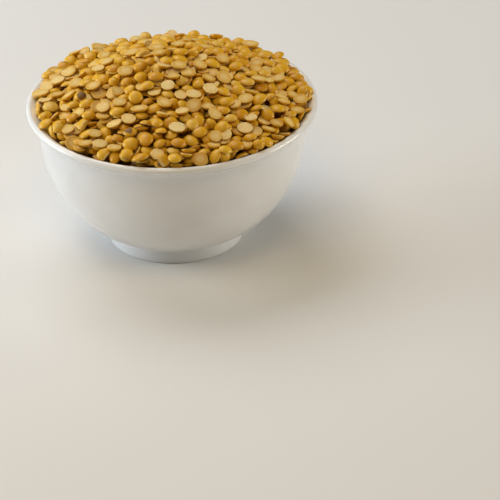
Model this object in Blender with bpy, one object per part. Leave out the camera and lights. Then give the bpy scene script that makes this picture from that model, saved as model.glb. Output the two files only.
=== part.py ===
"""A white porcelain bowl heaped with dry split yellow lentils (toor dal).

Metres, +Z up. The origin is the centre of the foot ring, on the surface the bowl stands on.
The bowl is one turned wall. The heap is one solid: a core that fills the bowl and rises over
its rim in a mound, with faceted split lentils of true size fused to the mound.
"""

import math
import random

import bmesh
import bpy
from mathutils import Matrix, Vector

# Bowl
RIM_RADIUS = 0.0600
BOWL_HEIGHT = 0.0612
WALL = 0.0030
NECK_RADIUS = 0.0549
FLARE_ANGLE = math.radians(60)
BELLY_POWER = 2.15
FOOT_RADIUS = 0.0288
FOOT_HEIGHT = 0.0056
FOOT_RING_WIDTH = 0.0032
FOOT_RECESS = 0.0034
FOOT_EDGE = 0.0006
FLOOR_THICKNESS = 0.0042

# Heap
FIT_GAP = 0.0003
HEAP_EDGE_RADIUS = 0.0568
HEAP_EDGE_RISE = 0.0005
MOUND_HEIGHT = 0.0220
MOUND_POWER = 1.7
MOUND_SHIFT = -0.0025
CORE_DROP = 0.0011
BUMP = 0.0006
SEED = 41

# Split lentils
LENTIL_RADIUS = 0.0030
LENTIL_THICKNESS = 0.0026
LENTIL_COUNT = 256
SIZE_SPREAD = 0.10
OVAL_SPREAD = 0.10
MOST_TILT = math.radians(34)
DOME_UP_SINK = 0.0007
FLAT_UP_RISE = 0.0013
GOLDEN_ANGLE = math.pi * (3 - math.sqrt(5))
NUDGE = 0.0003
MOST_NUDGES = 8

# Facets
BOWL_STEPS = 48
CORE_STEPS = 24
BELLY_POINTS = 7
FLARE_POINTS = 3
CORE_FLARE_POINTS = 5
LIP_POINTS = 4
MOUND_RINGS = 6
LENTIL_SIDES = 7

# The lip's round end: its centre lies half a wall inside the rim and below the top.
LIP_RADIUS = WALL / 2
LIP_CENTRE = Vector((RIM_RADIUS - LIP_RADIUS, BOWL_HEIGHT - LIP_RADIUS))
# The flare is an arc about a centre outside the neck, concentric for both faces of the wall.
FLARE_MID_RADIUS = (LIP_CENTRE.x - NECK_RADIUS + LIP_RADIUS) / (1 - math.cos(FLARE_ANGLE))
FLARE_CENTRE = LIP_CENTRE + FLARE_MID_RADIUS * Vector((math.cos(FLARE_ANGLE), -math.sin(FLARE_ANGLE)))
NECK_HEIGHT = FLARE_CENTRE.y
BELLY_DEPTH = (NECK_HEIGHT - FOOT_HEIGHT) / (
    1 - (FOOT_RADIUS / NECK_RADIUS) ** BELLY_POWER
) ** (1 / BELLY_POWER)
INNER_FLOOR = FOOT_RECESS + FLOOR_THICKNESS


def clear_scene():
    """Removes every object of the startup scene."""
    for obj in list(bpy.data.objects):
        bpy.data.objects.remove(obj, do_unlink=True)


def make_material(name, colour, roughness):
    """A Principled BSDF of one colour."""
    material = bpy.data.materials.new(name)
    material.use_nodes = True
    shader = material.node_tree.nodes["Principled BSDF"]
    shader.inputs["Base Color"].default_value = (*colour, 1.0)
    shader.inputs["Roughness"].default_value = roughness
    shader.inputs["Metallic"].default_value = 0.0
    return material


def add_object(name, mesh, material):
    """A named object of this mesh in the scene."""
    mesh.materials.append(material)
    obj = bpy.data.objects.new(name, mesh)
    bpy.context.scene.collection.objects.link(obj)
    return obj


def superellipse(share):
    """Half width, from 1 at share 0 to 0 at share 1, of the belly's curve."""
    return max(0.0, 1 - share**BELLY_POWER) ** (1 / BELLY_POWER)


def inner_radius(height):
    """Radius of the bowl's inner face at a height below the lip's round end."""
    if height >= NECK_HEIGHT:
        rise = height - FLARE_CENTRE.y
        reach = FLARE_MID_RADIUS + LIP_RADIUS
        return FLARE_CENTRE.x - math.sqrt(max(0.0, reach**2 - rise**2))
    share = (NECK_HEIGHT - height) / (NECK_HEIGHT - INNER_FLOOR)
    return (NECK_RADIUS - WALL) * superellipse(min(1.0, share))


def inner_height(step):
    """Height of one of the inner belly's points, from the neck at 0 to the floor."""
    share = math.sin(math.pi / 2 * step / BELLY_POINTS)
    return NECK_HEIGHT - (NECK_HEIGHT - INNER_FLOOR) * share


def arc(centre, radius, start, end, points):
    """Points (radius, height) along an arc, both ends included."""
    turns = [start + (end - start) * i / (points - 1) for i in range(points)]
    return [(centre.x + radius * math.cos(t), centre.y + radius * math.sin(t)) for t in turns]


def bowl_profile():
    """The wall's section from the axis under the foot, out and over the lip, to the axis inside."""
    ring_inside = FOOT_RADIUS - FOOT_RING_WIDTH
    foot = [
        (0.0, FOOT_RECESS),
        (ring_inside - FOOT_EDGE, FOOT_RECESS),
        (ring_inside, FOOT_EDGE),
        (ring_inside + FOOT_EDGE, 0.0),
        (FOOT_RADIUS - FOOT_EDGE, 0.0),
        (FOOT_RADIUS, FOOT_EDGE),
    ]
    # Equal steps of this angle put the belly's points closest where it curves most.
    first = math.asin((NECK_HEIGHT - FOOT_HEIGHT) / BELLY_DEPTH)
    outside = []
    for i in range(BELLY_POINTS):
        share = math.sin(first * (1 - i / BELLY_POINTS))
        outside.append((NECK_RADIUS * superellipse(share), NECK_HEIGHT - BELLY_DEPTH * share))
    lean = math.pi - FLARE_ANGLE
    flare_out = arc(FLARE_CENTRE, FLARE_MID_RADIUS - LIP_RADIUS, math.pi, lean, FLARE_POINTS)
    lip = arc(LIP_CENTRE, LIP_RADIUS, -FLARE_ANGLE, lean, LIP_POINTS + 2)[1:-1]
    flare_in = arc(FLARE_CENTRE, FLARE_MID_RADIUS + LIP_RADIUS, lean, math.pi, FLARE_POINTS)
    inside = []
    for i in range(1, BELLY_POINTS):
        inside.append((inner_radius(inner_height(i)), inner_height(i)))
    return foot + outside + flare_out + lip + flare_in + inside + [(0.0, INNER_FLOOR)]


def turned_mesh(name, profile, steps):
    """A closed mesh turned about Z from a profile whose two ends lie on the axis."""
    bm = bmesh.new()
    verts = [bm.verts.new((radius, 0.0, height)) for radius, height in profile]
    edges = [bm.edges.new(pair) for pair in zip(verts, verts[1:])]
    bmesh.ops.spin(
        bm,
        geom=verts + edges,
        cent=(0, 0, 0),
        axis=(0, 0, 1),
        angle=2 * math.pi,
        steps=steps,
        use_merge=True,
    )
    bmesh.ops.remove_doubles(bm, verts=bm.verts, dist=1e-6)
    bmesh.ops.recalc_face_normals(bm, faces=bm.faces)
    mesh = bpy.data.meshes.new(name)
    bm.to_mesh(mesh)
    bm.free()
    return mesh


def mound_height(x, y):
    """Height of the heap's mean surface over a point."""
    lean = 1 - math.hypot(x, y) / HEAP_EDGE_RADIUS
    radius = math.hypot(x - MOUND_SHIFT * max(0.0, lean), y)
    share = min(1.0, radius / HEAP_EDGE_RADIUS)
    return BOWL_HEIGHT + HEAP_EDGE_RISE + MOUND_HEIGHT * (1 - share**MOUND_POWER)


def mound_normal(x, y):
    """Unit normal of the mean surface over a point."""
    step = LENTIL_RADIUS
    slope_x = (mound_height(x + step, y) - mound_height(x - step, y)) / (2 * step)
    slope_y = (mound_height(x, y + step) - mound_height(x, y - step)) / (2 * step)
    return Vector((-slope_x, -slope_y, 1.0)).normalized()


def core_mesh():
    """The heap's core: it fills the bowl to a small gap and ends in a mound with low bumps."""
    edge_height = BOWL_HEIGHT + HEAP_EDGE_RISE - CORE_DROP
    wall = [(0.0, INNER_FLOOR + FIT_GAP)]
    for i in range(BELLY_POINTS - 1, 0, -1):
        height = inner_height(i)
        wall.append((inner_radius(height) - FIT_GAP, height + FIT_GAP))
    reach = FLARE_MID_RADIUS + LIP_RADIUS + FIT_GAP
    lean = math.pi - math.asin((edge_height - FLARE_CENTRE.y) / reach)
    wall += arc(FLARE_CENTRE, reach, math.pi, lean, CORE_FLARE_POINTS)
    edge_radius = wall[-1][0]
    rings = [edge_radius * (1 - i / MOUND_RINGS) for i in range(1, MOUND_RINGS + 1)]
    top = [(radius, mound_height(radius, 0.0) - CORE_DROP) for radius in rings]
    mesh = turned_mesh("core", wall + top, CORE_STEPS)
    draw = random.Random(SEED)
    for vertex in mesh.vertices:
        x, y, z = vertex.co
        if z > edge_height + BUMP:
            vertex.co.z = mound_height(x, y) - CORE_DROP + draw.uniform(-BUMP, BUMP)
    return mesh


def lentil_mesh():
    """A faceted split lentil of unit radius and height: flat face at z = 0, dome above it."""
    bm = bmesh.new()
    bmesh.ops.create_uvsphere(bm, u_segments=LENTIL_SIDES, v_segments=4, radius=1.0)
    cut = bmesh.ops.bisect_plane(
        bm,
        geom=bm.verts[:] + bm.edges[:] + bm.faces[:],
        dist=1e-4,
        plane_co=(0, 0, 0),
        plane_no=(0, 0, 1),
        clear_inner=True,
    )
    rim = [item for item in cut["geom_cut"] if isinstance(item, bmesh.types.BMEdge)]
    bmesh.ops.contextual_create(bm, geom=rim)
    bmesh.ops.recalc_face_normals(bm, faces=bm.faces)
    mesh = bpy.data.meshes.new("lentil")
    bm.to_mesh(mesh)
    bm.free()
    return mesh


def lentil_matrix(index, draw):
    """Where one split lentil lies on the mound: evenly spread, leaning and turned at random."""
    reach = HEAP_EDGE_RADIUS - LENTIL_RADIUS / 3
    radius = reach * math.sqrt((index + 0.5) / LENTIL_COUNT)
    angle = index * GOLDEN_ANGLE
    jitter = LENTIL_RADIUS / 4
    x = radius * math.cos(angle) + draw.uniform(-jitter, jitter)
    y = radius * math.sin(angle) + draw.uniform(-jitter, jitter)
    up = mound_normal(x, y)
    lean_axis = Vector((1, 0, 0)).cross(up)
    lean_axis.rotate(Matrix.Rotation(draw.uniform(0, 2 * math.pi), 3, up))
    up.rotate(Matrix.Rotation(draw.uniform(0, MOST_TILT), 3, lean_axis))
    flat_up = draw.random() < 0.5
    size = 1 + draw.uniform(-SIZE_SPREAD, SIZE_SPREAD)
    oval = 1 + draw.uniform(-OVAL_SPREAD, OVAL_SPREAD)
    shift = FLAT_UP_RISE if flat_up else -DOME_UP_SINK
    place = Vector((x, y, mound_height(x, y) - CORE_DROP)) + up * shift
    turn = (-up if flat_up else up).to_track_quat("Z", "X").to_matrix().to_4x4()
    spin = Matrix.Rotation(draw.uniform(0, 2 * math.pi), 4, "Z")
    scale = Matrix.Diagonal(
        (LENTIL_RADIUS * size * oval, LENTIL_RADIUS * size / oval, LENTIL_THICKNESS * size, 1.0)
    )
    return Matrix.Translation(place) @ turn @ spin @ scale


def clears_bowl(points):
    """Whether all these points keep the gap to the bowl's inner face, its lip and its rim."""
    for x, y, z in points:
        radius = math.hypot(x, y)
        if radius > RIM_RADIUS - FIT_GAP:
            return False
        if (Vector((radius, z)) - LIP_CENTRE).length < LIP_RADIUS + FIT_GAP:
            return False
        if z < LIP_CENTRE.y + LIP_RADIUS and radius > inner_radius(min(z, LIP_CENTRE.y)) - FIT_GAP:
            return False
    return True


def section_points(mesh, matrix):
    """A lentil's corners and the middles of its edges, where it lies."""
    corners = [matrix @ vertex.co for vertex in mesh.vertices]
    middles = [(corners[a] + corners[b]) / 2 for a, b in (edge.vertices for edge in mesh.edges)]
    return corners + middles


def moved_clear(mesh, matrix):
    """The matrix moved up and towards the axis until the lentil clears the bowl, or None."""
    for _ in range(MOST_NUDGES):
        if clears_bowl(section_points(mesh, matrix)):
            return matrix
        inward = Vector((-matrix.translation.x, -matrix.translation.y, 0.0)).normalized()
        matrix = Matrix.Translation(NUDGE * (inward + Vector((0, 0, 1)))) @ matrix
    return None


def scatter_lentils():
    """A collection of the split lentils that show, leaving out those that would cross the bowl."""
    shared = lentil_mesh()
    collection = bpy.data.collections.new("lentils")
    bpy.context.scene.collection.children.link(collection)
    draw = random.Random(SEED)
    for index in range(LENTIL_COUNT):
        matrix = moved_clear(shared, lentil_matrix(index, draw))
        if matrix is None:
            continue
        mesh = shared.copy()
        mesh.transform(matrix)
        collection.objects.link(bpy.data.objects.new(f"lentil_{index}", mesh))
    return collection


def islands(bm):
    """The separate shells of a mesh, each as a list of its vertices."""
    left = set(bm.verts)
    found = []
    while left:
        shell = {left.pop()}
        edge = list(shell)
        while edge:
            near = {link.other_vert(v) for v in edge for link in v.link_edges} - shell
            shell |= near
            edge = list(near)
        left -= shell
        found.append(list(shell))
    return found


def keep_outer_shell(mesh):
    """Fills hollows that the fusing sealed and drops loose scraps, by keeping the largest shell."""
    bm = bmesh.new()
    bm.from_mesh(mesh)
    for shell in sorted(islands(bm), key=len)[:-1]:
        bmesh.ops.delete(bm, geom=shell, context="VERTS")
    bm.to_mesh(mesh)
    bm.free()


def fuse(obj, collection):
    """Joins a collection's objects to obj by one union, applies it, and removes them."""
    union = obj.modifiers.new("fuse", "BOOLEAN")
    union.operation = "UNION"
    union.operand_type = "COLLECTION"
    union.collection = collection
    union.solver = "MANIFOLD"
    graph = bpy.context.evaluated_depsgraph_get()
    fused = bpy.data.meshes.new_from_object(obj.evaluated_get(graph))
    obj.modifiers.clear()
    obj.data = fused
    for piece in list(collection.objects):
        bpy.data.objects.remove(piece, do_unlink=True)
    bpy.data.collections.remove(collection)


def build_bowl():
    """The porcelain bowl."""
    glaze = make_material("white_glaze", (0.83, 0.83, 0.82), 0.12)
    bowl = add_object("bowl", turned_mesh("bowl", bowl_profile(), BOWL_STEPS), glaze)
    bowl.data.shade_smooth()
    bowl.data.set_sharp_from_angle(angle=math.radians(35))
    return bowl


def build_heap():
    """The heap of split lentils."""
    skin = make_material("split_lentil", (0.62, 0.36, 0.06), 0.55)
    heap = add_object("dal_heap", core_mesh(), skin)
    fuse(heap, scatter_lentils())
    keep_outer_shell(heap.data)
    return heap


def main():
    """Builds both pieces."""
    clear_scene()
    build_bowl()
    build_heap()


if __name__ == "__main__":
    main()
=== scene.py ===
"""Dresses a white porcelain bowl that is heaped with dry split yellow lentils (toor dal).

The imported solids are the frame. The bowl's wall is turned again from the same sizes with finer
steps. The heap is a rough core with loose split lentils settled on it one by one, each at its
true size. Metres, +Z up; the origin is the centre of the foot ring, where the bowl stands.
"""

import logging
import math
from dataclasses import dataclass, field
from enum import Enum

import bmesh
import bpy
import numpy as np
from mathutils import Matrix, Vector


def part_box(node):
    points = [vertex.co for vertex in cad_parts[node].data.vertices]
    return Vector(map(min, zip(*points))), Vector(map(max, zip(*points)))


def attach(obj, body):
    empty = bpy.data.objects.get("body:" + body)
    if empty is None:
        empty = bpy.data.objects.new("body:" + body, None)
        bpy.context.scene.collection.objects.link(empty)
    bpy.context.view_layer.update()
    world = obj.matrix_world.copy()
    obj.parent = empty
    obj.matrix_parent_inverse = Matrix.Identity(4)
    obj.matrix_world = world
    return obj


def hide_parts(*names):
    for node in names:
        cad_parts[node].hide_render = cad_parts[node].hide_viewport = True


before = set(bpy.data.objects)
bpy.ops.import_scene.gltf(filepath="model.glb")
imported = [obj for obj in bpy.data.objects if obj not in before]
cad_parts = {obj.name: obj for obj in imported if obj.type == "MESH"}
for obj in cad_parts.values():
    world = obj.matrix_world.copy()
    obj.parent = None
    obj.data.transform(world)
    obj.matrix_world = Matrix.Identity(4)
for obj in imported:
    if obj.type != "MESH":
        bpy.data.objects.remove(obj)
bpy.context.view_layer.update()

logging.basicConfig(level=logging.INFO, format="%(name)s: %(message)s")
log = logging.getLogger("lentil_bowl")

MM = 0.001
MERGE_GAP = 1e-7
SAME_PLACE = 1e-5
UP = np.array([0, 0, 1.0])
LIGHT_AIM = Vector((0.0, 0.0, 50 * MM))
Colour = tuple[float, float, float]
Plane = tuple[float, float, float, float]
Section = list[tuple[float, float]]


class Finish(Enum):
    """Names for material slots, which nothing in the script uses."""

    GLAZE = "white_glaze"
    LENTIL = "split_lentil"


class Kind(Enum):
    """The kinds of seed in the heap, each a piece of its own."""

    ROUND = "round_splits"
    OVAL = "oval_splits"
    NOTCHED = "notched_splits"
    CHIPPED = "chipped_splits"
    HUSKED = "husked_splits"
    WHOLE = "whole_lentils"
    CRUMB = "lentil_crumbs"


@dataclass(frozen=True)
class Wire:
    """A node's output, usable in arithmetic: each operator adds a Math node."""

    graph: "Graph"
    socket: bpy.types.NodeSocket

    def _math(self, operation: str, first: object, second: object) -> "Wire":
        """The result of a Math node.

        Args:
            operation: The node's operation.
            first, second: Wires or numbers.

        Returns:
            The node's output.
        """
        return self.graph.wire("ShaderNodeMath", {"operation": operation}, {0: first, 1: second})

    def __add__(self, other: object) -> "Wire":
        """This plus other."""
        return self._math("ADD", self, other)

    def __radd__(self, other: object) -> "Wire":
        """Other plus this."""
        return self._math("ADD", other, self)

    def __sub__(self, other: object) -> "Wire":
        """This minus other."""
        return self._math("SUBTRACT", self, other)

    def __rsub__(self, other: object) -> "Wire":
        """Other minus this."""
        return self._math("SUBTRACT", other, self)

    def __mul__(self, other: object) -> "Wire":
        """This times other."""
        return self._math("MULTIPLY", self, other)

    def rises(self, start: float, end: float) -> "Wire":
        """A smooth step: 0 below start and 1 above end, or the other way round if end is lower.

        Args:
            start: Where the step begins.
            end: Where it is complete.

        Returns:
            The step's value.
        """
        low, high = min(start, end), max(start, end)
        settings = {"interpolation_type": "SMOOTHSTEP"}
        sockets = {"Value": self, "From Min": low, "From Max": high}
        step = self.graph.wire("ShaderNodeMapRange", settings, sockets)
        return step if end > start else 1 - step


class Graph:
    """The node graph of one material, around its Principled BSDF."""

    def __init__(self, name: str) -> None:
        """Makes the material.

        Args:
            name: The material's name.
        """
        self.material = bpy.data.materials.new(name)
        self.material.use_nodes = True
        self.tree = self.material.node_tree
        self.shader = self.tree.nodes["Principled BSDF"]

    def plug(self, socket: bpy.types.NodeSocket, value: object) -> None:
        """Links a wire to an input socket, or sets the socket's own value.

        Args:
            socket: The input socket.
            value: A wire, a number, a vector or a colour.
        """
        if isinstance(value, Wire):
            self.tree.links.new(value.socket, socket)
        elif isinstance(value, tuple) and socket.type == "RGBA":
            socket.default_value = (*value, 1.0)
        else:
            socket.default_value = value

    def node(self, kind: str, settings: dict, sockets: dict) -> bpy.types.Node:
        """Adds a node.

        Args:
            kind: The node's type.
            settings: Its properties, set first.
            sockets: Values or wires for its inputs, by name or number.

        Returns:
            The node.
        """
        made = self.tree.nodes.new(kind)
        for key, value in settings.items():
            setattr(made, key, value)
        for key, value in sockets.items():
            self.plug(made.inputs[key], value)
        return made

    def wire(self, kind: str, settings: dict, sockets: dict, output: object = 0) -> Wire:
        """Adds a node and returns one of its outputs.

        Args:
            kind, settings, sockets: As for node.
            output: The output's name or number.

        Returns:
            The output.
        """
        return Wire(self, self.node(kind, settings, sockets).outputs[output])

    def place(self) -> Wire:
        """The point's place in the object's coordinates, in metres."""
        return self.wire("ShaderNodeTexCoord", {}, {}, "Object")

    def height(self) -> Wire:
        """The point's height, in metres."""
        return self.wire("ShaderNodeSeparateXYZ", {}, {"Vector": self.place()}, "Z")

    def attribute(self, name: str) -> Wire:
        """A number that the mesh carries under this name."""
        return self.wire("ShaderNodeAttribute", {"attribute_name": name}, {}, "Fac")

    def noise(self, grain: float, detail: float = 2.0, roughness: float = 0.5) -> Wire:
        """Noise about 0.5 over the object's coordinates.

        Args:
            grain: The size of its largest lumps, in metres.
            detail: How many finer octaves it has.
            roughness: How strong they are.

        Returns:
            The noise, from 0 to 1.
        """
        sockets = {
            "Vector": self.place(), "Scale": 1 / grain, "Detail": detail, "Roughness": roughness,
        }
        return self.wire("ShaderNodeTexNoise", {}, sockets)

    def ramp(self, factor: Wire, stops: list[tuple[float, Colour]]) -> Wire:
        """A colour that follows a number through stops.

        Args:
            factor: The number, from 0 to 1.
            stops: Each stop's place and colour, in rising order.

        Returns:
            The colour.
        """
        made = self.node("ShaderNodeValToRGB", {}, {0: factor})
        elements = made.color_ramp.elements
        while len(elements) < len(stops):
            elements.new(1.0)
        for element, (place, colour) in zip(elements, stops):
            element.position = place
            element.color = (*colour, 1.0)
        return Wire(self, made.outputs[0])

    def mix(self, factor: object, first: object, second: object) -> Wire:
        """One colour over another.

        Args:
            factor: How much of the second shows, from 0 to 1.
            first: The colour beneath.
            second: The colour on top.

        Returns:
            The mixed colour.
        """
        sockets = {0: factor, 6: first, 7: second}
        return self.wire("ShaderNodeMix", {"data_type": "RGBA"}, sockets, 2)

    def bump(self, relief: Wire, depth: float, strength: float = 1.0) -> None:
        """Gives the shader a bumpy normal.

        Args:
            relief: The surface's height, from 0 to 1.
            depth: What a height of 1 is, in metres.
            strength: The Bump node's strength.
        """
        sockets = {"Height": relief, "Distance": depth, "Strength": strength}
        self.plug(self.shader.inputs["Normal"], self.wire("ShaderNodeBump", {}, sockets))

    def finish(self, **sockets: object) -> bpy.types.Material:
        """Sets the shader's sockets.

        Args:
            sockets: Values or wires by the socket's name, with _ for a space.

        Returns:
            The material.
        """
        for name, value in sockets.items():
            title = name.replace("_", " ").title().replace("Ior", "IOR")
            self.plug(self.shader.inputs[title], value)
        return self.material


@dataclass(frozen=True)
class Porcelain:
    """White porcelain under a clear glaze, bare on the land of the foot ring."""

    body: Colour = (0.80, 0.80, 0.795)
    thin_glaze: Colour = (0.77, 0.765, 0.75)
    biscuit: Colour = (0.70, 0.66, 0.60)
    speck: Colour = (0.50, 0.46, 0.40)
    roughness: float = 0.15
    coat: float = 0.12
    coat_roughness: float = 0.10
    bare_height: float = 0.35 * MM
    cloud_size: float = 22 * MM
    smear_size: float = 9 * MM
    speck_size: float = 1.1 * MM
    ripple_size: float = 14 * MM
    grit_size: float = 1.6 * MM
    relief: float = 0.10 * MM

    def material(self) -> bpy.types.Material:
        """The glazed and the bare porcelain in one material."""
        graph = Graph("glazed_porcelain")
        bare = graph.height().rises(self.bare_height, 0.6 * self.bare_height)
        clouds = graph.noise(self.cloud_size, 3.0)
        glazed = graph.mix(clouds.rises(0.42, 0.70), self.body, self.thin_glaze)
        specks = graph.noise(self.speck_size, 1.0).rises(0.83, 0.90)
        glazed = graph.mix(specks * 0.22, glazed, self.speck)
        colour = graph.mix(bare, glazed, self.biscuit)
        rough = self.roughness + graph.noise(self.smear_size) * 0.05 + bare * 0.5
        ripple = graph.noise(self.ripple_size, 1.0) + graph.noise(self.grit_size) * bare * 0.4
        graph.bump(ripple, self.relief, 0.5)
        return graph.finish(
            base_color=colour, roughness=rough, coat_weight=self.coat,
            coat_roughness=self.coat_roughness,
        )


@dataclass(frozen=True)
class SeedFlesh:
    """A dry split lentil: a waxy golden dome, and a paler powdery flat face."""

    deep: Colour = (0.56, 0.255, 0.005)
    gold: Colour = (0.69, 0.370, 0.009)
    light: Colour = (0.72, 0.422, 0.022)
    faded: Colour = (0.71, 0.460, 0.080)
    face_dark: Colour = (0.59, 0.325, 0.032)
    face_mid: Colour = (0.70, 0.445, 0.088)
    face_light: Colour = (0.80, 0.620, 0.28)
    husk: Colour = (0.20, 0.100, 0.028)
    speck: Colour = (0.20, 0.10, 0.03)
    glow: Colour = (1.0, 0.55, 0.15)
    glow_share: float = 0.25
    glow_depth: float = 0.8 * MM
    specular: float = 0.38
    mottle_size: float = 2.4 * MM
    speck_size: float = 1.3 * MM
    blotch_size: float = 1.1 * MM
    grain_size: float = 0.60 * MM
    relief: float = 0.18 * MM

    def material(self) -> bpy.types.Material:
        """The seeds' material, which reads each seed's tint, face, shade and husk."""
        graph = Graph("split_lentil_flesh")
        tint = graph.attribute("tint")
        face = graph.attribute("face")
        shade = graph.attribute("shade")
        mottle = graph.noise(self.mottle_size, 3.0)
        grain = graph.noise(self.grain_size, 3.0, 0.65)
        domes = [(0.0, self.deep), (0.35, self.gold), (0.75, self.light), (1.0, self.faded)]
        faces = [(0.0, self.face_dark), (0.5, self.face_mid), (1.0, self.face_light)]
        dome = graph.ramp(tint + (mottle - 0.5) * 0.35 + (grain - 0.5) * 0.3, domes)
        scuff = mottle.rises(0.58, 0.74) * grain.rises(0.40, 0.62)
        dome = graph.mix(scuff * 0.35, dome, self.faded)
        blotch = graph.noise(self.blotch_size)
        flat = graph.ramp(shade + (grain - 0.5) * 1.3 + (blotch - 0.5) * 0.9, faces)
        worn = (face + (grain - 0.5) * 0.5).rises(0.30, 0.75)
        colour = graph.mix(worn, dome, flat)
        # Painted highlight: a pale band along the rim of each flat face, where the edge catches
        # the light.
        rim = face.rises(0.30, 0.60) * face.rises(0.98, 0.80)
        colour = graph.mix(rim * 0.5, colour, self.face_light)
        specks = graph.noise(self.speck_size, 0.0).rises(0.78, 0.84)
        colour = graph.mix(specks * 0.3, colour, self.speck)
        patch = (graph.attribute("husk") + (mottle - 0.5) * 0.7).rises(0.50, 0.68)
        colour = graph.mix(patch, colour, self.husk)
        rough = 0.35 + worn * 0.30 + (grain - 0.5) * 0.20 + patch * 0.15
        relief = mottle * (0.9 - worn * 0.3) + grain * (0.30 + worn * 0.35) + blotch * worn * 0.6
        graph.bump(relief, self.relief, 0.9)
        return graph.finish(
            base_color=colour, roughness=rough, subsurface_weight=self.glow_share,
            subsurface_radius=self.glow, subsurface_scale=self.glow_depth,
            specular_ior_level=self.specular,
        )


@dataclass(frozen=True)
class DeepGrain:
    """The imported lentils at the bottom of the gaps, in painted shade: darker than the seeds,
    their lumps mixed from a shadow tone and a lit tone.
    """

    shadow: Colour = (0.42, 0.20, 0.020)
    lit: Colour = (0.58, 0.30, 0.030)
    lump_size: float = 4.5 * MM
    relief: float = 1.0 * MM

    def material(self) -> bpy.types.Material:
        """The core's material, with painted shade and light between its lumps."""
        graph = Graph("deep_lentils")
        lumps = graph.noise(self.lump_size)
        # Painted shade and light: the lumps mix the shadow tone and the lit tone.
        colour = graph.mix(lumps.rises(0.35, 0.65), self.shadow, self.lit)
        graph.bump(lumps, self.relief)
        return graph.finish(base_color=colour, roughness=0.72 + lumps * 0.1)


@dataclass(frozen=True)
class Backdrop:
    """The plain pale floor's paint."""

    paint: Colour = (0.74, 0.74, 0.735)
    cloud: Colour = (0.70, 0.70, 0.69)
    cloud_size: float = 0.4

    def material(self) -> bpy.types.Material:
        """The floor's material."""
        graph = Graph("pale_floor")
        colour = graph.mix(graph.noise(self.cloud_size) * 0.03, self.paint, self.cloud)
        return graph.finish(base_color=colour, roughness=0.9)


def arc(centre: Vector, radius: float, start: float, end: float, points: int) -> Section:
    """Points along an arc, both ends included.

    Args:
        centre: The centre's radius and height.
        radius: The arc's radius.
        start: The first point's angle.
        end: The last point's angle.
        points: How many points.

    Returns:
        Each point's radius and height.
    """
    turns = np.linspace(start, end, points)
    return [(centre.x + radius * math.cos(t), centre.y + radius * math.sin(t)) for t in turns]


def turned(section: Section, steps: int) -> bmesh.types.BMesh:
    """A closed mesh turned about Z from a section whose two ends lie on the axis.

    Args:
        section: The section's radii and heights.
        steps: How many steps the full turn has.

    Returns:
        The mesh, its faces pointing outwards.
    """
    bm = bmesh.new()
    verts = [bm.verts.new((radius, 0.0, height)) for radius, height in section]
    edges = [bm.edges.new(pair) for pair in zip(verts, verts[1:])]
    bmesh.ops.spin(
        bm, geom=verts + edges, cent=(0, 0, 0), axis=(0, 0, 1), angle=2 * math.pi, steps=steps,
        use_merge=True,
    )
    bmesh.ops.remove_doubles(bm, verts=bm.verts, dist=MERGE_GAP)
    bmesh.ops.recalc_face_normals(bm, faces=bm.faces)
    return bm


def add_piece(name: str, mesh: bpy.types.Mesh, material: bpy.types.Material) -> bpy.types.Object:
    """A named object of a mesh, at the origin.

    Args:
        name: The object's name.
        mesh: Its mesh, already in place.
        material: Its material.

    Returns:
        The object.
    """
    mesh.materials.append(material)
    piece = bpy.data.objects.new(name, mesh)
    bpy.context.scene.collection.objects.link(piece)
    log.info("built %s", name)
    return piece


def mesh_from(name: str, bm: bmesh.types.BMesh, sharp: float) -> bpy.types.Mesh:
    """A smooth-shaded mesh with its sharper edges kept.

    Args:
        name: The mesh's name.
        bm: The shape, which is freed.
        sharp: The angle past which an edge stays sharp.

    Returns:
        The mesh.
    """
    mesh = bpy.data.meshes.new(name)
    bm.to_mesh(mesh)
    bm.free()
    mesh.shade_smooth()
    mesh.set_sharp_from_angle(angle=sharp)
    return mesh


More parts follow.
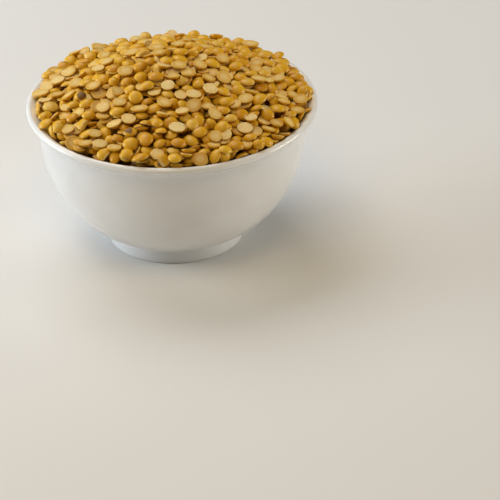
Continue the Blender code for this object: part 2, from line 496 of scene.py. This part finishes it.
@dataclass(frozen=True)
class Bowl:
    """The footed bowl with a flared lip, one turned wall."""

    rim_radius: float
    height: float
    wall: float = 3.0 * MM
    neck_radius: float = 54.9 * MM
    flare_angle: float = math.radians(60)
    belly_power: float = 2.15
    foot_radius: float = 28.8 * MM
    foot_height: float = 5.6 * MM
    foot_ring_width: float = 3.2 * MM
    foot_recess: float = 3.4 * MM
    foot_edge: float = 0.6 * MM
    floor_thickness: float = 4.2 * MM
    steps: int = 192
    belly_points: int = 44
    flare_points: int = 20
    lip_points: int = 14
    edge_segments: int = 3
    sharp: float = math.radians(50)

    @property
    def lip_radius(self) -> float:
        """Radius of the lip's round end."""
        return self.wall / 2

    @property
    def lip_centre(self) -> Vector:
        """Centre of the lip's round end, as a radius and a height."""
        return Vector((self.rim_radius - self.lip_radius, self.height - self.lip_radius))

    @property
    def flare_radius(self) -> float:
        """Radius of the flare's middle line."""
        reach = self.lip_centre.x - self.neck_radius + self.lip_radius
        return reach / (1 - math.cos(self.flare_angle))

    @property
    def flare_centre(self) -> Vector:
        """Centre of the flare's arc, outside the neck."""
        lean = Vector((math.cos(self.flare_angle), -math.sin(self.flare_angle)))
        return self.lip_centre + self.flare_radius * lean

    @property
    def neck_height(self) -> float:
        """Height at which the belly ends and the flare starts."""
        return self.flare_centre.y

    @property
    def belly_depth(self) -> float:
        """Depth below the neck at which the outer belly's curve would reach the axis."""
        share = (self.foot_radius / self.neck_radius) ** self.belly_power
        return (self.neck_height - self.foot_height) / (1 - share) ** (1 / self.belly_power)

    @property
    def foot_corners(self) -> Section:
        """The foot ring's corners, from the recess under the bowl to the belly."""
        inside = self.foot_radius - self.foot_ring_width
        return [
            (inside, self.foot_recess), (inside, 0.0), (self.foot_radius, 0.0),
            (self.foot_radius, self.foot_height),
        ]

    @property
    def inner_floor(self) -> float:
        """Height of the floor inside the bowl."""
        return self.foot_recess + self.floor_thickness

    def belly(self, share: float) -> float:
        """The belly's width, from 1 at the neck to 0 at its full depth.

        Args:
            share: The depth below the neck as a share of the full depth.

        Returns:
            The width as a share of the neck's.
        """
        return max(0.0, 1 - share**self.belly_power) ** (1 / self.belly_power)

    def section(self) -> Section:
        """The wall's section, from the axis under the foot over the lip to the axis inside."""
        foot = [(0.0, self.foot_recess), *self.foot_corners[:-1]]
        first = math.asin((self.neck_height - self.foot_height) / self.belly_depth)
        outside = []
        for turn in np.linspace(first, 0.0, self.belly_points, endpoint=False):
            share = math.sin(turn)
            height = self.neck_height - self.belly_depth * share
            outside.append((self.neck_radius * self.belly(share), height))
        lean = math.pi - self.flare_angle
        outer = self.flare_radius - self.lip_radius
        inner = self.flare_radius + self.lip_radius
        flare_out = arc(self.flare_centre, outer, math.pi, lean, self.flare_points)
        lip = arc(self.lip_centre, self.lip_radius, -self.flare_angle, lean, self.lip_points)
        flare_in = arc(self.flare_centre, inner, lean, math.pi, self.flare_points)
        inside = self.inside(self.belly_points, 0.0)
        return foot + outside + flare_out + lip[1:-1] + flare_in + inside[1:]

    def inside(self, points: int, gap: float) -> Section:
        """The inner belly from the neck to the axis.

        Args:
            points: How many points it has.
            gap: How far inside the wall it runs.

        Returns:
            Each point's radius and height.
        """
        found = []
        for turn in np.linspace(0.0, math.pi / 2, points):
            height = self.neck_height - (self.neck_height - self.inner_floor) * math.sin(turn)
            radius = (self.neck_radius - self.wall) * self.belly(math.sin(turn))
            found.append((max(0.0, radius - gap), height + gap))
        return found[:-1] + [(0.0, self.inner_floor + gap)]

    def top_at(self, radius: np.ndarray) -> np.ndarray:
        """Height of the inner face and the lip over each radius past the neck.

        Args:
            radius: The radii.

        Returns:
            The heights, 0 within the neck.
        """
        inner = self.flare_radius + self.lip_radius
        flare = inner**2 - np.minimum(inner, np.maximum(0, self.flare_centre.x - radius)) ** 2
        lip = self.lip_radius**2 - (radius - self.lip_centre.x) ** 2
        join = self.lip_centre.x - self.lip_radius * math.cos(self.flare_angle)
        on_flare = self.flare_centre.y + np.sqrt(flare)
        on_lip = self.lip_centre.y + np.sqrt(np.maximum(0, lip))
        height = np.where(radius < join, on_flare, on_lip)
        return np.where(radius < self.neck_radius - self.wall, 0.0, height)

    def build(self) -> None:
        """Builds the turned wall and rounds its foot's edges."""
        bm = turned(self.section(), self.steps)
        corners = self.foot_corners
        rings = []
        for edge in bm.edges:
            ends = [(math.hypot(v.co.x, v.co.y), v.co.z) for v in edge.verts]
            if any(all(math.dist(end, spot) < SAME_PLACE for end in ends) for spot in corners):
                rings.append(edge)
        bmesh.ops.bevel(
            bm, geom=rings, offset=self.foot_edge, offset_type="OFFSET", affect="EDGES",
            segments=self.edge_segments, profile=0.5, material=-1,
        )
        mesh = mesh_from("porcelain_bowl", bm, self.sharp)
        bowl = add_piece("porcelain_bowl", mesh, Porcelain().material())
        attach(bowl, "root")
        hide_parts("bowl")


@dataclass(frozen=True)
class Mound:
    """The heap's mean surface: a rounded cone over the bowl's rim, leaning to one side."""

    bowl: Bowl
    edge_radius: float = 58.0 * MM
    edge_rise: float = -0.9 * MM
    height: float = 19.8 * MM
    power: float = 1.42
    shift: float = -2.5 * MM

    def top(self, x: np.ndarray, y: np.ndarray) -> np.ndarray:
        """Height of the mean surface.

        Args:
            x, y: The places across and in depth.

        Returns:
            The heights over them.
        """
        lean = np.maximum(0.0, 1 - np.hypot(x, y) / self.edge_radius)
        share = np.minimum(1.0, np.hypot(x - self.shift * lean, y) / self.edge_radius)
        return self.bowl.height + self.edge_rise + self.height * (1 - share**self.power)

    def normal(self, x: float, y: float) -> np.ndarray:
        """Unit normal of the mean surface.

        Args:
            x, y: The place across and in depth.

        Returns:
            The normal.
        """
        step = 2 * MM
        slope_x = (self.top(x + step, y) - self.top(x - step, y)) / (2 * step)
        slope_y = (self.top(x, y + step) - self.top(x, y - step)) / (2 * step)
        up = np.array([-slope_x, -slope_y, 1.0])
        return up / np.linalg.norm(up)


@dataclass(frozen=True)
class SeedForm:
    """A modelled seed of unit size: its mesh as arrays, and the planes that cut its ellipsoid."""

    points: np.ndarray
    corners: np.ndarray
    sizes: np.ndarray
    face: np.ndarray
    planes: list[Plane]


@dataclass(frozen=True)
class Recipe:
    """How one kind of seed looks, and how many there are of it."""

    share: float
    radius: tuple[float, float]
    oval: tuple[float, float]
    thickness: tuple[float, float]
    forms: int = 3
    waviness: float = 0.045
    chip: tuple[float, float] | None = None
    notch: float = 0.0
    whole: bool = False
    husk: float = 0.0
    pale: float = 0.0


RECIPES: dict[Kind, Recipe] = {
    Kind.ROUND: Recipe(0.44, (2.65 * MM, 3.45 * MM), (1.00, 1.10), (0.58, 0.80), forms=5),
    Kind.OVAL: Recipe(0.26, (2.70 * MM, 3.60 * MM), (1.12, 1.32), (0.54, 0.76), forms=4),
    Kind.NOTCHED: Recipe(
        0.12, (2.65 * MM, 3.50 * MM), (1.00, 1.14), (0.54, 0.76), waviness=0.06, notch=0.16,
        pale=0.10,
    ),
    Kind.CHIPPED: Recipe(
        0.13, (2.70 * MM, 3.50 * MM), (1.00, 1.15), (0.54, 0.74), forms=4, chip=(0.35, 0.85),
        pale=0.10,
    ),
    Kind.HUSKED: Recipe(0.012, (2.60 * MM, 3.10 * MM), (1.00, 1.12), (0.66, 0.84), husk=1.0),
    Kind.WHOLE: Recipe(0.012, (2.30 * MM, 2.75 * MM), (1.00, 1.10), (0.84, 0.96), whole=True),
    Kind.CRUMB: Recipe(
        0.008, (1.30 * MM, 2.10 * MM), (1.00, 1.40), (0.60, 0.80), waviness=0.10,
        chip=(0.00, 0.40), pale=0.10,
    ),
}


@dataclass(frozen=True)
class SeedMaker:
    """Models seeds of unit size: flat face down at z = 0, dome up to z = 1."""

    draw: np.random.Generator
    sides: int = 12
    dome: tuple = ((1.0, 0.12), (0.93, 0.42), (0.72, 0.72), (0.38, 0.93), (0.0, 1.0))
    flat: tuple = ((0.0, 0.06), (0.86, 0.0), (0.965, 0.025))
    seam: tuple = (0.96, 0.0)
    most_lean: float = 0.10
    notch_width: float = 0.45
    break_slope: float = 0.25
    face_start: float = 1.2
    face_fade: float = 0.12

    def section(self, whole: bool) -> Section:
        """The seed's section, from the axis below to the axis above.

        Args:
            whole: Whether both halves are still joined.

        Returns:
            The section's radii and heights.
        """
        if whole:
            below = [(radius, -height) for radius, height in reversed(self.dome)]
            return [*below, self.seam, *self.dome]
        return [*self.flat, *self.dome]

    def form(self, recipe: Recipe) -> SeedForm:
        """Models one seed.

        Args:
            recipe: What kind of seed it is.

        Returns:
            The seed.
        """
        bm = turned(self.section(recipe.whole), self.sides)
        phases = self.draw.uniform(0, 2 * math.pi, 3)
        lean = self.draw.uniform(-self.most_lean, self.most_lean, 2)
        for vert in bm.verts:
            turn = math.atan2(vert.co.y, vert.co.x)
            waves = sum(math.cos((i + 2) * turn + phases[i]) / (i + 1) for i in range(3))
            swell = 1 + recipe.waviness * waves
            dent = recipe.notch * math.exp(-((turn / self.notch_width) ** 2))
            grow = (swell - dent) if abs(vert.co.x) + abs(vert.co.y) > 1e-6 else 1.0
            vert.co.x = vert.co.x * grow + lean[0] * max(0.0, vert.co.z) ** 2
            vert.co.y = vert.co.y * grow + lean[1] * max(0.0, vert.co.z) ** 2
        planes = [] if recipe.whole else [(0.0, 0.0, -1.0, 0.0)]
        if recipe.chip:
            planes.append(self._chip(bm, recipe.chip))
        bmesh.ops.recalc_face_normals(bm, faces=bm.faces)
        return self._arrays(bm, planes)

    def _chip(self, bm: bmesh.types.BMesh, reach: tuple[float, float]) -> Plane:
        """Breaks a piece off a seed.

        Args:
            bm: The seed.
            reach: The least and most distance of the break from the centre.

        Returns:
            The break's plane, as a normal and a distance from the centre.
        """
        turn = self.draw.uniform(0, 2 * math.pi)
        slope = self.draw.uniform(-self.break_slope, self.break_slope)
        normal = Vector((math.cos(turn), math.sin(turn), slope)).normalized()
        distance = self.draw.uniform(*reach)
        cut = bmesh.ops.bisect_plane(
            bm, geom=bm.verts[:] + bm.edges[:] + bm.faces[:], dist=1e-4,
            plane_co=normal * distance, plane_no=normal, clear_outer=True,
        )
        rim = [item for item in cut["geom_cut"] if isinstance(item, bmesh.types.BMEdge)]
        bmesh.ops.contextual_create(bm, geom=rim)
        return (*normal, distance)

    def _arrays(self, bm: bmesh.types.BMesh, planes: list[Plane]) -> SeedForm:
        """Reads a seed's mesh into arrays.

        Args:
            bm: The seed, which is freed.
            planes: The planes that cut it.

        Returns:
            The seed.
        """
        bm.verts.index_update()
        points = np.array([vert.co[:] for vert in bm.verts])
        corners = [loop.vert.index for face in bm.faces for loop in face.loops]
        sizes = [len(face.loops) for face in bm.faces]
        bm.free()
        flat = np.zeros(len(points))
        for a, b, c, distance in planes:
            inside = distance - points @ np.array([a, b, c])
            flat = np.maximum(flat, np.clip(self.face_start - inside / self.face_fade, 0, 1))
        return SeedForm(points, np.array(corners), np.array(sizes), flat, planes)


def rotations(vectors: np.ndarray) -> np.ndarray:
    """Rotation matrices about vectors, by an angle of each vector's length.

    Args:
        vectors: The rotation vectors, one a row.

    Returns:
        The matrices.
    """
    angles = np.linalg.norm(vectors, axis=1)
    units = vectors / np.maximum(angles, 1e-9)[:, None]
    cross = np.zeros((len(vectors), 3, 3))
    cross[:, 0, 1], cross[:, 0, 2], cross[:, 1, 2] = -units[:, 2], units[:, 1], -units[:, 0]
    cross -= cross.transpose(0, 2, 1)
    sin, cos = np.sin(angles)[:, None, None], np.cos(angles)[:, None, None]
    return np.eye(3) + sin * cross + (1 - cos) * cross @ cross


def upright(up: np.ndarray) -> np.ndarray:
    """A rotation that turns Z to a direction.

    Args:
        up: The direction, of length 1.

    Returns:
        The rotation matrix.
    """
    return np.array(Vector(up).to_track_quat("Z", "Y").to_matrix())


@dataclass
class Seed:
    """One seed lying in the heap."""

    kind: Kind
    form: SeedForm
    semi: np.ndarray
    turn: np.ndarray
    place: np.ndarray
    columns: tuple[np.ndarray, np.ndarray] | None = None
    tops: np.ndarray | None = None

    def points(self) -> np.ndarray:
        """The seed's corners where it lies."""
        return (self.form.points * self.semi) @ self.turn.T + self.place


@dataclass
class Settler:
    """Lays seeds one by one on a map of heights until they reach the mound's mean surface.

    search and nudge are in millimetres; tilt is in radians; coarse is in cells.
    """

    mound: Mound
    core_depth: float
    forms: dict[Kind, list[SeedForm]]
    cell: float = 0.33 * MM
    half: float = 61.5 * MM
    seed: int = 7
    gap: float = -0.10 * MM
    flat_up: float = 0.50
    follow_slope: float = 0.14
    wall_lean: float = 0.45
    scatter: float = 0.32
    search: float = 1.6
    nudge: float = 0.55
    tilt: float = 0.16
    narrowing: float = 0.65
    balance: float = 0.38
    lean_cost: float = 2.2 * MM
    most_above: float = 1.6 * MM
    perched: int = 60
    perched_above: float = 3.4 * MM
    fill_short: float = 0.5 * MM
    most_fails: int = 5
    fill_band: float = 2.6 * MM
    gap_short: float = 1.4 * MM
    gap_above: float = 3.4 * MM
    edge_reach: float = 58.3 * MM
    edge_wander: float = 0.8 * MM
    edge_width: float = 5.5 * MM
    edge_lift: float = 2.4 * MM
    edge_above: float = 1.5 * MM
    out_of_reach: float = 1.0
    seen_depth: float = 2.2 * MM
    coarse: int = 4
    first_tries: int = 48
    later_tries: int = 20
    rounds: int = 4
    most_seeds: int = 2400
    heights: np.ndarray = field(init=False)
    target: np.ndarray = field(init=False)
    seeds: list[Seed] = field(default_factory=list)

    def __post_init__(self) -> None:
        """Starts the map: the core, the bowl's inner face, and a limit round the edge."""
        self.middle = int(round(self.half / self.cell))
        line = (np.arange(2 * self.middle + 1) - self.middle) * self.cell
        x, y = np.meshgrid(line, line, indexing="ij")
        radius = np.hypot(x, y)
        self.target = self.mound.top(x, y)
        core = self.target - self.core_depth
        wall = self.mound.bowl.top_at(radius) + self.gap
        self.heights = np.where(radius < self.mound.edge_radius, np.maximum(core, wall), wall)
        turn = np.arctan2(y, x)
        waves = np.sin(3 * turn + 0.4) + np.sin(7 * turn + 2.0) + np.sin(13 * turn)
        limit = self.edge_reach + self.edge_wander * waves / 3
        self.blocked = radius > limit
        self.heights[self.blocked] = self.out_of_reach
        near_edge = radius > self.mound.edge_radius - self.edge_width
        self.edge_fill = np.where(near_edge, self.edge_lift, 0.0)
        self.extra = np.where(near_edge, self.edge_above, 0.0)
        self.sparse = (slice(None, None, self.coarse),) * 2
        self.draw = np.random.default_rng(self.seed)

    def spans(
        self, centres: np.ndarray, turns: np.ndarray, semi: np.ndarray, form: SeedForm
    ) -> tuple[np.ndarray, np.ndarray, np.ndarray, np.ndarray, np.ndarray]:
        """Where a seed's lower and upper faces run over the map's columns.

        Args:
            centres: Each try's place across and in depth.
            turns: Each try's rotation.
            semi: The seed's half sizes.
            form: The seed.

        Returns:
            The columns' two indices, the lower and upper heights, and which columns it covers.
        """
        reach = int(math.ceil(semi.max() / self.cell)) + 1
        steps = np.arange(-reach, reach + 1)
        near = np.rint(centres / self.cell).astype(int)[:, :, None] + steps
        offset = near * self.cell - centres[:, :, None]
        axes = turns / semi
        across = axes[:, 0, :, None, None] * offset[:, 0, None, :, None]
        start = across + axes[:, 1, :, None, None] * offset[:, 1, None, None, :]
        up = axes[:, 2, :, None, None]
        a = (up**2).sum(1)
        b = (start * up).sum(1)
        depth = b**2 - a * ((start**2).sum(1) - 1)
        covered = depth > 0
        root = np.sqrt(np.where(covered, depth, 0.0))
        low, high = (-b - root) / a, (-b + root) / a
        for plane in form.planes:
            normal = np.array(plane[:3])[None, :, None, None]
            rate = (normal * up).sum(1)
            rate = np.where(np.abs(rate) < 1e-9, 1e-9, rate)
            meet = (plane[3] - (normal * start).sum(1)) / rate
            high = np.where(rate > 0, np.minimum(high, meet), high)
            low = np.where(rate < 0, np.maximum(low, meet), low)
        covered &= low < high
        index = np.clip(near + self.middle, 0, 2 * self.middle)
        return index[:, 0, :, None], index[:, 1, None, :], low, high, covered

    def _try(
        self, centres: np.ndarray, turns: np.ndarray, semi: np.ndarray, form: SeedForm
    ) -> tuple[np.ndarray, np.ndarray]:
        """How high a seed would come to rest for each try.

        Args:
            centres, turns, semi, form: The tries and the seed, as for spans.

        Returns:
            The height of the seed's centre, and its balance point's height over the surface.
        """
        i, j, low, _, covered = self.spans(centres, turns, semi, form)
        rest = np.where(covered, self.heights[i, j] - low, -1.0).max((1, 2)) + self.gap
        middle = rest + turns[:, 2, 2] * semi[2] * self.balance
        return rest, middle - self.mound.top(centres[:, 0], centres[:, 1])

    def _facing(self, spot: np.ndarray) -> np.ndarray:
        """The way a seed's thin side points up: most lean back, some follow the slope.

        Args:
            spot: The place across and in depth.

        Returns:
            The direction, of length 1.
        """
        away = float(np.hypot(*spot))
        if away > self.mound.edge_radius - self.edge_width / 2:
            level = UP - self.wall_lean * np.array([*spot, 0.0]) / away
        elif self.draw.random() < self.follow_slope:
            level = self.mound.normal(*spot)
        else:
            level = UP - self.mound.normal(*spot) * [1, 1, 0]
        leant = level + self.draw.normal(0, self.scatter, 3)
        return leant / np.linalg.norm(leant)

    def _lay(self, kind: Kind, spot: np.ndarray, above: float) -> Seed | None:
        """Lays one seed near a spot, where and how it sinks in best.

        Args:
            kind: The kind of seed.
            spot: The place across and in depth.
            above: How far it may stand above the mean surface.

        Returns:
            The seed, or None where it would stand too far out.
        """
        recipe = RECIPES[kind]
        form = self.forms[kind][self.draw.integers(recipe.forms)]
        limits = (recipe.radius, recipe.oval, recipe.thickness)
        radius, oval, thick = (self.draw.uniform(*pair) for pair in limits)
        semi = radius * np.array([math.sqrt(oval), 1 / math.sqrt(oval), thick])
        tries = self.first_tries
        spot = spot * min(1.0, (self.edge_reach - semi[0]) / max(1e-6, np.hypot(*spot)))
        centres = spot + self.draw.uniform(-1, 1, (tries, 2)) * self.search * MM
        up = self._facing(spot)
        flip = math.pi if self.draw.random() < self.flat_up else 0.0
        tilt = self.draw.normal(0, self.tilt, (tries, 3))
        spins = self.draw.uniform(0, 2 * math.pi, tries)[:, None] * UP
        turns = rotations(tilt) @ upright(up) @ rotations(np.array([[flip, 0, 0]]))
        turns = turns @ rotations(spins)
        wanted = -up if flip else up
        spread = 1.0
        for later in range(self.rounds + 1):
            rest, height = self._try(centres, turns, semi, form)
            best = int(np.argmin(height + self.lean_cost * (1 - turns[:, :, 2] @ wanted)))
            if later == self.rounds:
                break
            moves = self.draw.normal(0, 1, (self.later_tries, 2)) * self.nudge * MM * spread
            leans = self.draw.normal(0, 1, (self.later_tries, 3)) * self.tilt * spread
            moves[0], leans[0] = 0.0, 0.0
            centres = centres[best] + moves
            turns = rotations(leans) @ turns[best]
            spread *= self.narrowing
        place = np.array([*centres[best], rest[best]])
        return self._record(Seed(kind, form, semi, turns[best], place), above)

    def _record(self, seed: Seed, above: float) -> Seed | None:
        """Adds a seed to the map, unless it would stand out too far.

        Args:
            seed: The seed where it lies.
            above: How far it may stand above the mean surface.

        Returns:
            The seed, or None.
        """
        found = self.spans(seed.place[None, :2], seed.turn[None], seed.semi, seed.form)
        i, j = np.broadcast_arrays(found[0][0], found[1][0])
        covered = found[4][0]
        i, j, tops = i[covered], j[covered], found[3][0][covered] + seed.place[2]
        if len(tops) == 0 or (tops - self.target[i, j] - self.extra[i, j]).max() > above:
            return None
        self.heights[i, j] = np.maximum(self.heights[i, j], tops)
        seed.columns, seed.tops = (i, j), tops
        self.seeds.append(seed)
        return seed

    def _spot(self, blocked: np.ndarray, least: float) -> np.ndarray | None:
        """A place, drawn at random, among those where the heap is lowest.

        Args:
            blocked: Coarse places that take no more seeds.
            least: How far below the mean surface a place that takes a seed is.

        Returns:
            The place across and in depth, or None where the heap is full.
        """
        short = (self.target - self.heights)[self.sparse].copy()
        short[blocked] = -self.out_of_reach
        short += self.edge_fill[self.sparse]
        low = np.argwhere(short > max(least, short.max() - self.fill_band))
        if len(low) == 0:
            return None
        pick = low[self.draw.integers(len(low))]
        return (pick * self.coarse - self.middle) * self.cell

    def _kind(self) -> Kind:
        """A kind of seed, drawn by the recipes' shares."""
        shares = np.array([recipe.share for recipe in RECIPES.values()])
        return list(RECIPES)[self.draw.choice(len(RECIPES), p=shares / shares.sum())]

    def _fill_places(self, least: float, above: float) -> None:
        """Lays seeds where the heap is lowest until no place that takes one is left.

        Args:
            least: How far below the mean surface a place that takes a seed is.
            above: How far a seed may stand above it.
        """
        blocked = self.blocked[self.sparse].copy()
        fails = np.zeros(blocked.shape, int)
        kind = self._kind()
        while len(self.seeds) < self.most_seeds:
            spot = self._spot(blocked, least)
            if spot is None:
                break
            if self._lay(kind, spot, above):
                kind = self._kind()
                continue
            i, j = np.rint((spot / self.cell + self.middle) / self.coarse).astype(int)
            fails[i - 1 : i + 2, j - 1 : j + 2] += 1
            blocked |= fails > self.most_fails

    def fill(self) -> list[Seed]:
        """Lays seeds up to the mean surface, over the gaps and on top; returns those seen."""
        self._fill_places(self.fill_short, self.most_above)
        self._fill_places(self.gap_short, self.gap_above)
        for _ in range(self.perched):
            turn = self.draw.uniform(0, 2 * math.pi)
            away = math.sqrt(self.draw.random()) * (self.mound.edge_radius - self.edge_width)
            spot = away * np.array([math.cos(turn), math.sin(turn)])
            self._lay(self._kind(), spot, self.perched_above)
        return [seed for seed in self.seeds if self._shows(seed)]

    def _shows(self, seed: Seed) -> bool:
        """Whether a seed is near enough to the heap's surface to be seen."""
        return float((self.heights[seed.columns] - seed.tops).min()) < self.seen_depth


@dataclass
class Heap:
    """The heap: a core that fills the bowl, and the seeds that show on it."""

    mound: Mound
    core_depth: float = 8.5 * MM
    core_bump: float = 0.7 * MM
    wall_gap: float = 0.3 * MM
    core_steps: int = 96
    core_rings: int = 30
    core_sharp: float = math.radians(60)
    seed_sharp: float = math.radians(64)
    tints: tuple[float, float] = (2.2, 2.4)
    shades: tuple[float, float] = (1.1, 1.9)
    husk_edges: tuple[float, float] = (0.4, 0.9)
    husk_fade: float = 1.2
    quick_seeds: int = 150
    seed: int = 19

    def build_core(self) -> None:
        """Builds the core, which ends below the seeds in a bumpy mound."""
        bowl = self.mound.bowl
        edge_height = float(self.mound.top(0.0, self.mound.edge_radius)) - self.core_depth
        wall = list(reversed(bowl.inside(bowl.belly_points, self.wall_gap)))[:-1]
        reach = bowl.flare_radius + bowl.lip_radius + self.wall_gap
        lean = math.pi - math.asin((edge_height - bowl.flare_centre.y) / reach)
        wall += arc(bowl.flare_centre, reach, math.pi, lean, bowl.flare_points)
        edge = wall[-1][0]
        rings = np.linspace(edge, 0.0, self.core_rings)[1:]
        top = [(r, float(self.mound.top(0.0, r)) - self.core_depth) for r in rings]
        bm = turned(wall + top, self.core_steps)
        draw = np.random.default_rng(self.seed)
        for vert in bm.verts:
            if vert.co.z > edge_height + self.core_bump:
                height = float(self.mound.top(vert.co.x, vert.co.y)) - self.core_depth
                vert.co.z = height - draw.uniform(0, 2 * self.core_bump)
        mesh = mesh_from("heap_core", bm, self.core_sharp)
        self._dress(add_piece("heap_core", mesh, DeepGrain().material()))

    def build_seeds(self) -> None:
        """Builds the seeds, one piece for each kind."""
        draw = np.random.default_rng(self.seed + 1)
        maker = SeedMaker(draw)
        forms = {
            kind: [maker.form(recipe) for _ in range(recipe.forms)]
            for kind, recipe in RECIPES.items()
        }
        settler = Settler(self.mound, self.core_depth, forms)
        seeds = settler.fill()
        log.info("laid %d seeds, kept %d", len(settler.seeds), len(seeds))
        flesh = SeedFlesh().material()
        for kind in RECIPES:
            chosen = [seed for seed in seeds if seed.kind is kind]
            if chosen:
                mesh = self._join(kind, chosen, draw)
                self._dress(add_piece(kind.value, mesh, flesh))

    def _join(self, kind: Kind, seeds: list[Seed], draw: np.random.Generator) -> bpy.types.Mesh:
        """Joins the seeds of one kind into one mesh that carries each seed's looks.

        Args:
            kind: The kind.
            seeds: Its seeds.
            draw: The random source.

        Returns:
            The mesh.
        """
        recipe = RECIPES[kind]
        starts = np.cumsum([0] + [len(seed.form.points) for seed in seeds])
        points = np.concatenate([seed.points() for seed in seeds])
        corners = np.concatenate([seed.form.corners + at for seed, at in zip(seeds, starts)])
        sizes = np.concatenate([seed.form.sizes for seed in seeds])
        face = np.concatenate([seed.form.face for seed in seeds])
        counts = np.diff(starts)
        mesh = bpy.data.meshes.new(kind.value)
        mesh.vertices.add(len(points))
        mesh.vertices.foreach_set("co", points.astype(np.float32).ravel())
        mesh.loops.add(len(corners))
        mesh.loops.foreach_set("vertex_index", corners.astype(np.int32))
        mesh.polygons.add(len(sizes))
        mesh.polygons.foreach_set("loop_start", (np.cumsum(sizes) - sizes).astype(np.int32))
        mesh.update(calc_edges=True)
        looks = {
            "tint": np.repeat(draw.beta(*self.tints, len(seeds)) + recipe.pale, counts),
            "shade": np.repeat(draw.beta(*self.shades, len(seeds)) + recipe.pale, counts),
            "husk": recipe.husk * self._patches(seeds, draw),
            "face": face,
        }
        for name, values in looks.items():
            layer = mesh.attributes.new(name, "FLOAT", "POINT")
            layer.data.foreach_set("value", np.clip(values, 0, 1).astype(np.float32))
        mesh.shade_smooth()
        mesh.set_sharp_from_angle(angle=self.seed_sharp)
        log.info("%s: %d seeds, %d faces", kind.value, len(seeds), len(sizes))
        return mesh

    def _patches(self, seeds: list[Seed], draw: np.random.Generator) -> np.ndarray:
        """Where skin is left on the seeds: on one side of each.

        Args:
            seeds: The seeds.
            draw: The random source.

        Returns:
            A share for each corner of all the seeds.
        """
        shares = []
        for seed in seeds:
            side = draw.normal(0, 1, 3)
            side[2] = abs(side[2])
            across = seed.form.points @ (side / np.linalg.norm(side))
            skin = 0.5 + (across - draw.uniform(*self.husk_edges)) * self.husk_fade
            shares.append(np.clip(skin, 0, 1))
        return np.concatenate(shares)

    def _dress(self, piece: bpy.types.Object) -> None:
        """Puts a piece of the heap on the frame in the heap's place."""
        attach(piece, "root")
        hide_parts("dal_heap")


@dataclass(frozen=True)
class SoftLight:
    """One rectangular softbox: where it stands, seen from the point all of them face."""

    name: str
    azimuth: float
    elevation: float
    distance: float
    size: tuple[float, float]
    power: float
    colour: Colour = (1.0, 1.0, 1.0)

    def build(self) -> None:
        """Adds the light."""
        turn, lift = math.radians(self.azimuth), math.radians(self.elevation)
        away = Vector(
            (math.cos(lift) * math.sin(turn), -math.cos(lift) * math.cos(turn), math.sin(lift))
        )
        lamp = bpy.data.lights.new(self.name, "AREA")
        lamp.shape = "RECTANGLE"
        lamp.size, lamp.size_y = self.size
        lamp.energy = self.power
        lamp.color = self.colour
        holder = bpy.data.objects.new(self.name, lamp)
        holder.location = LIGHT_AIM + away * self.distance
        holder.rotation_euler = away.to_track_quat("Z", "Y").to_euler()
        holder.visible_camera = False
        bpy.context.scene.collection.objects.link(holder)


@dataclass(frozen=True)
class Studio:
    """The pale floor, the soft lights and the camera."""

    floor_radius: float = 4.0
    floor_sides: int = 96
    sensor: float = 36.0
    sky: Colour = (1.0, 1.0, 1.0)
    sky_strength: float = 0.03
    camera_place: Vector = field(default_factory=lambda: Vector((0.0, -1.1257, 0.6436)))
    yaw: float = math.radians(1.57)
    pitch: float = math.radians(30.18)
    roll: float = math.radians(-1.11)
    focal_pixels: float = 3076.0
    frame_pixels: float = 500.0
    lights: tuple[SoftLight, ...] = (
        SoftLight("key", -148, 56, 1.1, (0.85, 0.85), 7.3),
        SoftLight("front", -18, 58, 1.2, (0.8, 0.8), 5.5, (1.0, 0.77, 0.46)),
        SoftLight("left", -98, 11, 1.0, (0.6, 0.34), 7.6, (0.84, 0.93, 1.0)),
        SoftLight("right", 90, 10, 1.2, (0.6, 0.34), 7.1, (1.0, 0.96, 0.86)),
    )

    def build_floor(self) -> None:
        """Adds the floor."""
        bm = bmesh.new()
        sides, radius = self.floor_sides, self.floor_radius
        bmesh.ops.create_circle(bm, cap_ends=True, segments=sides, radius=radius)
        floor = add_piece("floor", mesh_from("floor", bm, math.radians(30)), Backdrop().material())

    def build_lights(self) -> None:
        """Adds the softboxes and the sky."""
        for light in self.lights:
            light.build()
        world = bpy.data.worlds.new("studio")
        world.use_nodes = True
        background = world.node_tree.nodes["Background"]
        background.inputs["Color"].default_value = (*self.sky, 1.0)
        background.inputs["Strength"].default_value = self.sky_strength
        bpy.context.scene.world = world

    def build_camera(self) -> None:
        """Adds the camera at the place and turn that the outline of the bowl gave."""
        level = Vector((math.sin(self.yaw), math.cos(self.yaw), 0.0))
        ahead = level * math.cos(self.pitch) - Vector((0, 0, math.sin(self.pitch)))
        right = ahead.cross(Vector((0, 0, 1))).normalized()
        up = right.cross(ahead)
        side = right * math.cos(self.roll) + up * math.sin(self.roll)
        top = up * math.cos(self.roll) - right * math.sin(self.roll)
        data = bpy.data.cameras.new("camera")
        data.sensor_width = self.sensor
        data.lens = self.focal_pixels / self.frame_pixels * self.sensor
        camera = bpy.data.objects.new("camera", data)
        turn = Matrix((side, top, -ahead)).transposed().to_4x4()
        camera.matrix_world = Matrix.Translation(self.camera_place) @ turn
        bpy.context.scene.collection.objects.link(camera)
        bpy.context.scene.camera = camera
        bpy.context.scene.view_settings.view_transform = "Standard"


def main() -> None:
    """Builds the studio, the bowl and the heap."""
    studio = Studio()
    studio.build_camera()
    studio.build_lights()
    studio.build_floor()
    _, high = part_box("bowl")
    bowl = Bowl(rim_radius=round(high.x, 4), height=round(high.z, 4))
    bowl.build()
    heap = Heap(Mound(bowl))
    heap.build_core()
    heap.build_seeds()


if __name__ == "__main__":
    main()
